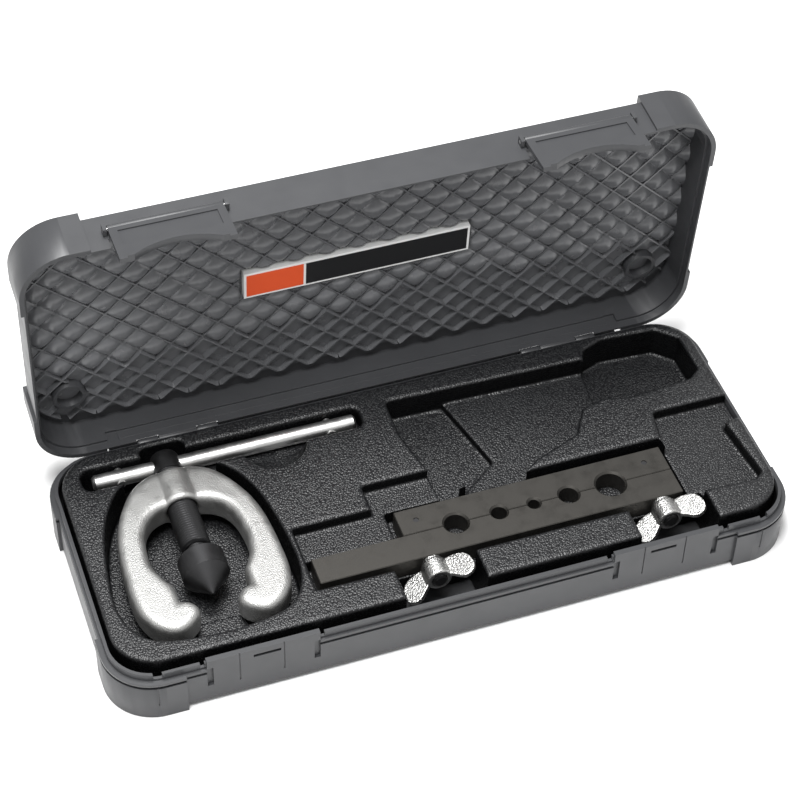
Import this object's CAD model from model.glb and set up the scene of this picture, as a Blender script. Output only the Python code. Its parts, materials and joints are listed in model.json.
"""Looks of the flaring tool in its case.

Metres, in the CAD's row frame: X along the case, Y towards the hinge, Z up.
"""
import json
import math

import bmesh
import bpy
import numpy as np
from mathutils import Matrix, Vector


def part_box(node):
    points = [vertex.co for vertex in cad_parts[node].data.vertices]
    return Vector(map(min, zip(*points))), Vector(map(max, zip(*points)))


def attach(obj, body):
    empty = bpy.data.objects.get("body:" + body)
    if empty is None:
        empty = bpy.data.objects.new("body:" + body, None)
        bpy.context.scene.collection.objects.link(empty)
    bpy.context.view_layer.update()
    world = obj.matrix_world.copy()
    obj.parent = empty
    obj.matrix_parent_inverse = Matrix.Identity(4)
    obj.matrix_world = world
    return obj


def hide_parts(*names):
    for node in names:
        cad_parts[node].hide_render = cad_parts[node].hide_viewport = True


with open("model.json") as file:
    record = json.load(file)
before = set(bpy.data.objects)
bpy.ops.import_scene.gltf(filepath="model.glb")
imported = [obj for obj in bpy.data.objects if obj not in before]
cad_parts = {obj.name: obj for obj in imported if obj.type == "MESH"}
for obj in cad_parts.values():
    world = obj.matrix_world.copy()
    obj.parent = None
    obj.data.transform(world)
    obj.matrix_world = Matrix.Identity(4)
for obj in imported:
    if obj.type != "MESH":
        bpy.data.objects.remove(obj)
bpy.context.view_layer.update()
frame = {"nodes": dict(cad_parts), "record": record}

MM = 0.001
SAME_PLACE = 1e-6                      # vertices closer than this are one
NODES = frame["nodes"]
JOINTS = {joint["name"]: joint for joint in frame["record"]["behaviour"]["joints"]}


# ---------------------------------------------------------------- materials
def new_material(name, colour, rough, metal=0.0):
    """A principled material and its shader node, with constants on the shader's own sockets."""
    mat = bpy.data.materials.new(name)
    mat.use_nodes = True
    shader = mat.node_tree.nodes["Principled BSDF"]
    shader.inputs["Base Color"].default_value = (*colour, 1)
    shader.inputs["Roughness"].default_value = rough
    shader.inputs["Metallic"].default_value = metal
    return mat, shader


def node(mat, kind, **values):
    """Adds a node and sets its inputs."""
    made = mat.node_tree.nodes.new(kind)
    for key, value in values.items():
        made.inputs[key.replace("_", " ")].default_value = value
    return made


def object_coordinates(mat):
    """The object coordinates, which are metres in the row frame."""
    return node(mat, "ShaderNodeTexCoord").outputs["Object"]


def noise(mat, per_metre, detail=3.0):
    """Noise with about per_metre features in a metre."""
    made = node(mat, "ShaderNodeTexNoise", Scale=per_metre, Detail=detail, Roughness=0.5)
    mat.node_tree.links.new(object_coordinates(mat), made.inputs["Vector"])
    return made.outputs["Fac"]


def cells(mat, per_metre):
    """Rounded cells, about per_metre in a metre."""
    made = node(mat, "ShaderNodeTexVoronoi", Scale=per_metre)
    mat.node_tree.links.new(object_coordinates(mat), made.inputs["Vector"])
    return made.outputs["Distance"]


def bump(mat, shader, height, depth, strength=1.0):
    """Bump of a given depth in metres."""
    made = node(mat, "ShaderNodeBump", Strength=strength, Distance=depth)
    mat.node_tree.links.new(height, made.inputs["Height"])
    mat.node_tree.links.new(made.outputs["Normal"], shader.inputs["Normal"])


def map_range(mat, source, start, end, low, high):
    """Takes source from the range start to end to the range low to high."""
    made = mat.node_tree.nodes.new("ShaderNodeMapRange")
    for key, value in (("From Min", start), ("From Max", end), ("To Min", low), ("To Max", high)):
        made.inputs[key].default_value = value
    mat.node_tree.links.new(source, made.inputs["Value"])
    return made.outputs["Result"]


def spread(mat, source, socket, low, high):
    """Drives a socket between two values by a noise, most of which lies between 0.3 and 0.7."""
    mat.node_tree.links.new(map_range(mat, source, 0.3, 0.7, low, high), socket)


def two_colours(mat, source, socket, low, high, start, end):
    """Drives a socket between two colours by a texture."""
    made = mat.node_tree.nodes.new("ShaderNodeValToRGB")
    for stop, place, colour in zip(made.color_ramp.elements, (start, end), (low, high)):
        stop.position, stop.color = place, (*colour, 1)
    mat.node_tree.links.new(source, made.inputs["Fac"])
    mat.node_tree.links.new(made.outputs["Color"], socket)


def plastic(name, colour, rough):
    """Moulded plastic with a very fine spark-eroded grain."""
    mat, shader = new_material(name, colour, rough)
    spread(mat, noise(mat, per_metre=90.0), shader.inputs["Roughness"], rough - 0.04, rough + 0.05)
    bump(mat, shader, noise(mat, per_metre=2600.0, detail=2.0), depth=0.04 * MM, strength=0.6)
    return mat


SPECULAR = 0.5                         # the shader's own default


def darker_walls(mat, shader, share):
    """Takes colour and gloss off faces that aren't level, as on the drawn walls of a deep moulding."""
    split = node(mat, "ShaderNodeSeparateXYZ")
    mat.node_tree.links.new(node(mat, "ShaderNodeTexCoord").outputs["Normal"], split.inputs["Vector"])
    steep, flat = 0.35, 0.95           # upward part of the normal on a full wall and on level ground
    level = map_range(mat, split.outputs["Z"], steep, flat, 1 - share, 1.0)
    colour = shader.inputs["Base Color"].links[0].from_socket
    scaled = mat.node_tree.nodes.new("ShaderNodeVectorMath")
    scaled.operation = "SCALE"
    mat.node_tree.links.new(colour, scaled.inputs["Vector"])
    mat.node_tree.links.new(level, scaled.inputs["Scale"])
    mat.node_tree.links.new(scaled.outputs["Vector"], shader.inputs["Base Color"])
    gloss = mat.node_tree.nodes.new("ShaderNodeMath")
    gloss.operation = "MULTIPLY"
    gloss.inputs[1].default_value = SPECULAR
    mat.node_tree.links.new(level, gloss.inputs[0])
    mat.node_tree.links.new(gloss.outputs["Value"], shader.inputs["Specular IOR Level"])


def pebbled(name):
    """Black leathery grain, each pebble about a millimetre wide."""
    mat, shader = new_material(name, (0.016, 0.017, 0.018), 0.38)
    pebbles = cells(mat, per_metre=1000.0)
    two_colours(mat, pebbles, shader.inputs["Base Color"], (0.019, 0.02, 0.021), (0.005, 0.005, 0.006),
                start=0.2, end=0.7)
    bump(mat, shader, pebbles, depth=-0.3 * MM)
    darker_walls(mat, shader, share=0.75)
    return mat


def metal(name, colour, rough, grain, depth, mottle=0.12, metallic=1.0):
    """Metal with uneven roughness and a surface grain: grain is its count in a metre, depth its height."""
    mat, shader = new_material(name, colour, rough, metallic)
    mottling = noise(mat, per_metre=160.0, detail=4.0)
    spread(mat, mottling, shader.inputs["Roughness"], rough - mottle / 2, rough + mottle)
    bump(mat, shader, noise(mat, grain), depth, strength=0.8)
    return mat


CASE = plastic("case_plastic", (0.04, 0.041, 0.044), rough=0.42)
LID_IN = plastic("lid_plastic", (0.11, 0.112, 0.118), rough=0.24)
TRAY = pebbled("tray_grain")
FORGED = metal("forged_zinc", (0.44, 0.44, 0.43), rough=0.42, grain=1500.0, depth=0.3 * MM, metallic=0.9)
BLACK = metal("black_oxide", (0.06, 0.06, 0.062), rough=0.5, grain=1800.0, depth=0.03 * MM)
BRIGHT = metal("bright_nickel", (0.75, 0.75, 0.74), rough=0.34, grain=900.0, depth=0.03 * MM, mottle=0.08)
DIE = metal("phosphated_steel", (0.07, 0.067, 0.062), rough=0.5, grain=2200.0, depth=0.03 * MM)
ZINC = metal("zinc_plate", (0.48, 0.48, 0.47), rough=0.3, grain=1300.0, depth=0.5 * MM)


def paint(name, mat):
    """Gives a CAD node its material."""
    obj = NODES[name]
    obj.data.materials.clear()
    obj.data.materials.append(mat)
    return obj


def edge_round(obj, width):
    """Rounds a node's hard edges a little."""
    weld = obj.modifiers.new("weld", "WELD")
    weld.merge_threshold = SAME_PLACE
    bevel = obj.modifiers.new("edges", "BEVEL")
    bevel.width, bevel.segments, bevel.limit_method = width, 2, "ANGLE"
    bevel.angle_limit, bevel.harden_normals = math.radians(40), True


def softened(name, body, mat, voxel, rounds):
    """A copy of a CAD node with softly rounded edges, which replaces it.

    voxel is the grain of the copy, and rounds how often it is smoothed.
    """
    source = NODES[name]
    obj = bpy.data.objects.new(name + "_soft", source.data.copy())
    bpy.context.scene.collection.objects.link(obj)
    obj.data.materials.clear()
    obj.data.materials.append(mat)
    mesh = obj.modifiers.new("voxels", "REMESH")
    mesh.mode, mesh.voxel_size, mesh.use_smooth_shade = "VOXEL", voxel, True
    smooth = obj.modifiers.new("round", "SMOOTH")
    smooth.factor, smooth.iterations = 0.5, rounds
    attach(obj, body)
    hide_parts(name)


def mesh_piece(name, verts, faces, body, mat, smooth=True):
    """A new piece from vertices and faces."""
    mesh = bpy.data.meshes.new(name)
    mesh.from_pydata([tuple(v) for v in verts], [], [tuple(f) for f in faces])
    mesh.update()
    mesh.polygons.foreach_set("use_smooth", [smooth] * len(mesh.polygons))
    obj = bpy.data.objects.new(name, mesh)
    bpy.context.scene.collection.objects.link(obj)
    mesh.materials.append(mat)
    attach(obj, body)
    return obj


for name in ("base_shell", "lid_shell"):
    edge_round(paint(name, CASE), width=0.35 * MM)
for name in ("latch_left", "latch_right"):
    edge_round(paint(name, CASE), width=0.3 * MM)
for name in ("front_die_bar", "rear_die_bar"):
    paint(name, DIE)
for name in ("flaring_cone", "stud_pins"):
    paint(name, BLACK)
for name in ("hinge_pins", "latch_pins_left", "latch_pins_right", "retaining_ring", "thrust_ball",
             "tommy_bar"):
    paint(name, BRIGHT)
for name in ("washer_left", "washer_right"):
    paint(name, ZINC)

softened("tray_insert", "case_base", TRAY, voxel=0.7 * MM, rounds=4)
softened("yoke", "yoke", FORGED, voxel=0.6 * MM, rounds=24)
for side in ("left", "right"):
    softened("wing_nut_" + side, "wing_nut_" + side, ZINC, voxel=0.3 * MM, rounds=5)


# ---------------------------------------------------------------- threads
def threaded(name, radius, pitch, depth, x, z, y_low, y_high, body, mat):
    """A threaded rod along Y, with bevelled ends. pitch is the rise of one turn, depth that of the groove."""
    around, per_pitch = 48, 8
    rows = int((y_high - y_low) / pitch * per_pitch)
    verts, faces = [], []
    for i in range(rows + 1):
        y = y_low + (y_high - y_low) * i / rows
        edge = min(y - y_low, y_high - y)
        for k in range(around):
            turn = k / around
            wave = abs((y / pitch - turn) % 1.0 - 0.5) * 2
            cut = depth * (1 - wave)
            r = radius - cut - max(0.0, depth - edge)
            angle = 2 * math.pi * turn
            verts.append((x + r * math.cos(angle), y, z + r * math.sin(angle)))
    for i in range(rows):
        for k in range(around):
            a, b = i * around + k, i * around + (k + 1) % around
            faces.append((a, a + around, b + around, b))
    faces.append(tuple(range(around)))
    faces.append(tuple(rows * around + k for k in reversed(range(around))))
    return mesh_piece(name, verts, faces, body, mat, smooth=False)


STUD_PITCH, STUD_GROOVE = 1.25 * MM, 0.75 * MM
for side in ("left", "right"):
    low, high = (Vector(c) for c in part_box("clamp_stud_" + side))
    centre = (low + high) / 2
    rod = threaded("stud_thread_" + side, (high.x - low.x) / 2, STUD_PITCH, STUD_GROOVE, centre.x, centre.z,
                   low.y, high.y, "rear_bar", BLACK)
    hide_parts("clamp_stud_" + side)


def lathe(name, profile, x, z, body, mat, around=64):
    """A closed turned shape round an axis along Y, from (radius, y) pairs."""
    verts, faces = [], []
    for r, y in profile:
        for k in range(around):
            angle = 2 * math.pi * k / around
            verts.append((x + r * math.cos(angle), y, z + r * math.sin(angle)))
    for i in range(len(profile) - 1):
        for k in range(around):
            a, b = i * around + k, i * around + (k + 1) % around
            faces.append((a, a + around, b + around, b))
    faces.append(tuple(range(around)))
    faces.append(tuple((len(profile) - 1) * around + k for k in reversed(range(around))))
    obj = mesh_piece(name, verts, faces, body, mat)
    sharp = obj.modifiers.new("edges", "EDGE_SPLIT")
    sharp.split_angle = math.radians(35)
    return obj


# The screw: neck in the cone, thread through the yoke, and a drilled head outside it.
screw_low, screw_high = (Vector(c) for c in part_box("feed_screw"))
cone_low, cone_high = (Vector(c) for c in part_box("flaring_cone"))
yoke_high = Vector(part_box("yoke")[1])
axis_x, axis_z = (cone_low.x + cone_high.x) / 2, (cone_low.z + cone_high.z) / 2
SCREW_R, SCREW_PITCH, SCREW_GROOVE = (screw_high.x - screw_low.x) / 2, 1.5 * MM, 0.8 * MM
NECK_R, NECK_LEN, HEAD_R, HEAD_BEVEL = 5.2 * MM, 6.0 * MM, 7.6 * MM, 1.6 * MM
HEAD_GAP = 1.8 * MM                    # from the yoke to the head
BORE_ROOM = 0.35 * MM                  # the softened yoke's bore is a little tighter than the CAD's
LAP = 0.5 * MM                         # how far one turned length runs into the next
thread_start, thread_end = cone_high.y + NECK_LEN, yoke_high.y + HEAD_GAP
rod = threaded("screw_thread", SCREW_R - BORE_ROOM, SCREW_PITCH, SCREW_GROOVE, axis_x, axis_z,
               thread_start, thread_end, "screw", BLACK)
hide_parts("feed_screw")
lathe("screw_neck", [(NECK_R, screw_low.y), (NECK_R, thread_start + LAP)], axis_x, axis_z,
      "screw", BLACK)
lathe("screw_head", [(HEAD_R, thread_end - LAP), (HEAD_R, screw_high.y - HEAD_BEVEL),
                     (HEAD_R - 0.3 * HEAD_BEVEL, screw_high.y - 0.3 * HEAD_BEVEL),
                     (HEAD_R - HEAD_BEVEL, screw_high.y)],
      axis_x, axis_z, "screw", BLACK)

# ---------------------------------------------------------------- inside of the lid
hinge = JOINTS["lid_hinge"]
OPEN = math.radians(-hinge["range_deg"][0])
HINGE = Vector(hinge["pos_m"])
TO_OPEN = (Matrix.Translation(HINGE) @ Matrix.Rotation(-OPEN, 4, "X") @ Matrix.Translation(-HINGE))
TO_CLOSED = TO_OPEN.inverted()


def closed_box(name):
    """A lid node's box with the lid shut."""
    pts = np.array([TO_CLOSED @ v.co for v in NODES[name].data.vertices])
    return Vector(pts.min(axis=0)), Vector(pts.max(axis=0))


badge_low, badge_high = closed_box("lid_badge")
CEILING = badge_high.z
RIB = 3.4 * MM                         # ribs of the rear half
LOW_RIB, DOME = 2.0 * MM, 3.6 * MM     # ribs and bulges of the front half
SUNK = 0.3 * MM                        # floor of a cell
CROSSING = Vector((4.0, 0.7)) * MM     # where two ribs cross
CUP, CUP_ROOM = Vector((156.0, 45.2)) * MM, 9.0 * MM     # centre of the right cup, and flat room round it
IN_W, IN_D, IN_R = 347.0 * MM, 142.0 * MM, 21.5 * MM     # the lid's inside
REAR_MARGIN = 6.5 * MM                 # plain band of the ceiling along the hinge
CELL, HALF_RIB = 11.5 * MM, 0.45 * MM  # from rib to rib, and half a rib's width
FLAT = 0.1 * MM                        # height under the badge and the cups
PAD = 1.2 * MM                         # flat room round the badge
BULGE_Y, DIP_Y = 20.0 * MM, 9.0 * MM   # rear edge of the bulges, and the depth of the dip in it
DIP_X, DIP_WIDTH = 40.0 * MM, 40.0 * MM


def lattice():
    """Crossed ribs over the lid's ceiling, with a bulge in each cell of the front half."""
    wall_foot = 1.15 * HALF_RIB
    steps = np.concatenate([[-HALF_RIB, HALF_RIB], np.linspace(wall_foot, CELL - wall_foot, 10)])
    count = int((IN_W + IN_D) / math.sqrt(2) / CELL / 2) + 2
    line = np.concatenate([steps + k * CELL for k in range(-count, count)])
    u, v = np.meshgrid(line, line, indexing="ij")
    x, y = (u - v) / math.sqrt(2) + CROSSING.x, (u + v) / math.sqrt(2) + CROSSING.y

    fu, fv = (u + HALF_RIB) % CELL - HALF_RIB, (v + HALF_RIB) % CELL - HALF_RIB
    on_rib = np.minimum(fu, fv) <= HALF_RIB * 1.001
    su, sv = np.clip(fu / CELL, 0, 1), np.clip(fv / CELL, 0, 1)
    dome = np.sqrt(np.clip(np.sin(math.pi * su) * np.sin(math.pi * sv), 0, 1))
    cell_x, cell_y = (u - fu - v + fv) / math.sqrt(2), (u - fu + v - fv) / math.sqrt(2)
    bulged = cell_y < BULGE_Y - DIP_Y * np.exp(-((cell_x - DIP_X) / DIP_WIDTH) ** 2)
    height = np.where(on_rib, np.where(bulged, LOW_RIB, RIB), np.where(bulged, SUNK + DOME * dome, SUNK))

    # The outline is a rounded rectangle, and what lies outside it is pulled to its edge.
    x_max, y_min, y_max = IN_W / 2, -IN_D / 2, IN_D / 2 - REAR_MARGIN
    cx = np.clip(x, -x_max + IN_R, x_max - IN_R)
    cy = np.clip(y, y_min + IN_R, y_max - IN_R)
    dx, dy = x - cx, y - cy
    far = np.hypot(dx, dy)
    outside = far > IN_R
    shrink = np.where(outside, IN_R / np.maximum(far, 1e-9), 1.0)
    px, py = cx + dx * shrink, cy + dy * shrink

    # Room for the badge and for the two cups.
    covered = ((px > badge_low.x - PAD) & (px < badge_high.x + PAD)
               & (py > badge_low.y - PAD) & (py < badge_high.y + PAD))
    for side in (-1, 1):
        covered |= np.hypot(px - side * CUP.x, py - CUP.y) < CUP_ROOM
    height = np.where(covered, FLAT, height)

    n = len(line)
    verts = [TO_OPEN @ Vector((a, b, CEILING - h)) for a, b, h in zip(px.ravel(), py.ravel(), height.ravel())]
    i, j = np.meshgrid(np.arange(n - 1), np.arange(n - 1), indexing="ij")
    corners = np.stack([i * n + j, i * n + j + 1, (i + 1) * n + j + 1, (i + 1) * n + j], -1).reshape(-1, 4)
    corners = corners[(~outside).ravel()[corners].any(axis=1)]
    used = np.unique(corners)
    lookup = np.full(n * n, -1)
    lookup[used] = np.arange(len(used))
    obj = mesh_piece("lid_lattice", [verts[k] for k in used], lookup[corners], "lid", LID_IN,
                     smooth=False)
    flat = bmesh.new()
    flat.from_mesh(obj.data)
    bmesh.ops.remove_doubles(flat, verts=flat.verts, dist=SAME_PLACE)
    bmesh.ops.recalc_face_normals(flat, faces=flat.faces)
    flat.to_mesh(obj.data)
    flat.free()
    obj.data.polygons.foreach_set("use_smooth", [True] * len(obj.data.polygons))
    split = obj.modifiers.new("edges", "EDGE_SPLIT")
    split.split_angle = math.radians(42)   # keeps the ribs' walls sharp and the bulges smooth


lattice()


def slab(name, x0, x1, y0, y1, z0, z1, mat, round_by=0.0):
    """A slab of the badge, given with the lid shut."""
    flat = bmesh.new()
    bmesh.ops.create_cube(flat, size=1.0)
    for vert in flat.verts:
        vert.co = [(a + b) / 2 + c * (b - a) for a, b, c in zip((x0, y0, z0), (x1, y1, z1), vert.co)]
    flat.transform(TO_OPEN)
    mesh = bpy.data.meshes.new(name)
    flat.to_mesh(mesh)
    flat.free()
    obj = bpy.data.objects.new(name, mesh)
    bpy.context.scene.collection.objects.link(obj)
    mesh.materials.append(mat)
    if round_by:
        bevel = obj.modifiers.new("edges", "BEVEL")
        bevel.width, bevel.segments, bevel.limit_method = round_by, 3, "ANGLE"
    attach(obj, "lid")
    return obj


# ---------------------------------------------------------------- badge
WHITE = new_material("badge_white", (0.75, 0.75, 0.74), 0.3)[0]
ORANGE = new_material("badge_orange", (0.72, 0.09, 0.025), 0.3)[0]
INK = new_material("badge_black", (0.01, 0.01, 0.011), 0.3)[0]
x0, x1, y0, y1, z = badge_low.x, badge_high.x, badge_low.y, badge_high.y, badge_low.z
plate = slab("badge_plate", x0, x1, y0, y1, z, CEILING, WHITE, 0.2 * MM)
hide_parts("lid_badge")
EDGE, SKIN, SPLIT = 1.3 * MM, 0.12 * MM, 0.265         # border, colour layer, and the orange field's share
mid = x0 + (x1 - x0) * SPLIT
for name, start, end, mat in (("badge_left", x0 + EDGE, mid - EDGE / 2, ORANGE),
                              ("badge_right", mid + EDGE / 2, x1 - EDGE, INK)):
    slab(name, start, end, y0 + EDGE, y1 - EDGE, z - SKIN, z + SKIN, mat)

# ---------------------------------------------------------------- stage
FLOOR = new_material("floor", (0.86, 0.86, 0.86), 0.8)[0]
FLOOR_SIZE, FLOOR_Z = 12, -0.0002      # just under the case's feet
bpy.ops.mesh.primitive_plane_add(size=FLOOR_SIZE, location=(0, 0, FLOOR_Z))
floor = bpy.context.object
floor.name = "floor"
floor.data.materials.append(FLOOR)

world = bpy.data.worlds.new("studio")
bpy.context.scene.world = world
world.use_nodes = True
world.node_tree.nodes["Background"].inputs["Color"].default_value = (1, 1, 1, 1)
world.node_tree.nodes["Background"].inputs["Strength"].default_value = 0.52
bpy.context.scene.view_settings.view_transform = "Standard"


def softbox(name, place, size, power):
    """A square studio light, turned to the middle of the case."""
    light = bpy.data.lights.new(name, "AREA")
    light.shape, light.size, light.energy = "SQUARE", size, power
    obj = bpy.data.objects.new(name, light)
    bpy.context.scene.collection.objects.link(obj)
    obj.location = place
    obj.rotation_euler = (LIT - Vector(place)).to_track_quat("-Z", "Y").to_euler()


LIT = Vector((0, 0, 0.03))
softbox("key", (-0.3, -0.35, 1.35), size=0.4, power=18)
softbox("top", (-0.1, 0.2, 1.35), size=0.5, power=18)
softbox("fill", (0.9, -0.6, 0.9), size=0.8, power=1.5)

# ---------------------------------------------------------------- camera
AZIMUTH, ELEVATION, ROLL = math.radians(-20.45), math.radians(46.57), math.radians(1.78)
DISTANCE, LENS = 1.1476, 103.8
aim = HINGE + Vector((-2.35, -49.52, 42.69)) * MM
back = Vector((math.sin(AZIMUTH) * math.cos(ELEVATION), -math.cos(AZIMUTH) * math.cos(ELEVATION),
               math.sin(ELEVATION)))
camera = bpy.data.objects.new("camera", bpy.data.cameras.new("camera"))
bpy.context.scene.collection.objects.link(camera)
camera.location = aim + back * DISTANCE
camera.rotation_euler = (back.to_track_quat("Z", "Y").to_matrix() @ Matrix.Rotation(ROLL, 3, "Z")).to_euler()
camera.data.lens, camera.data.sensor_width = LENS, 36.0
camera.data.clip_end = 20.0
bpy.context.scene.camera = camera
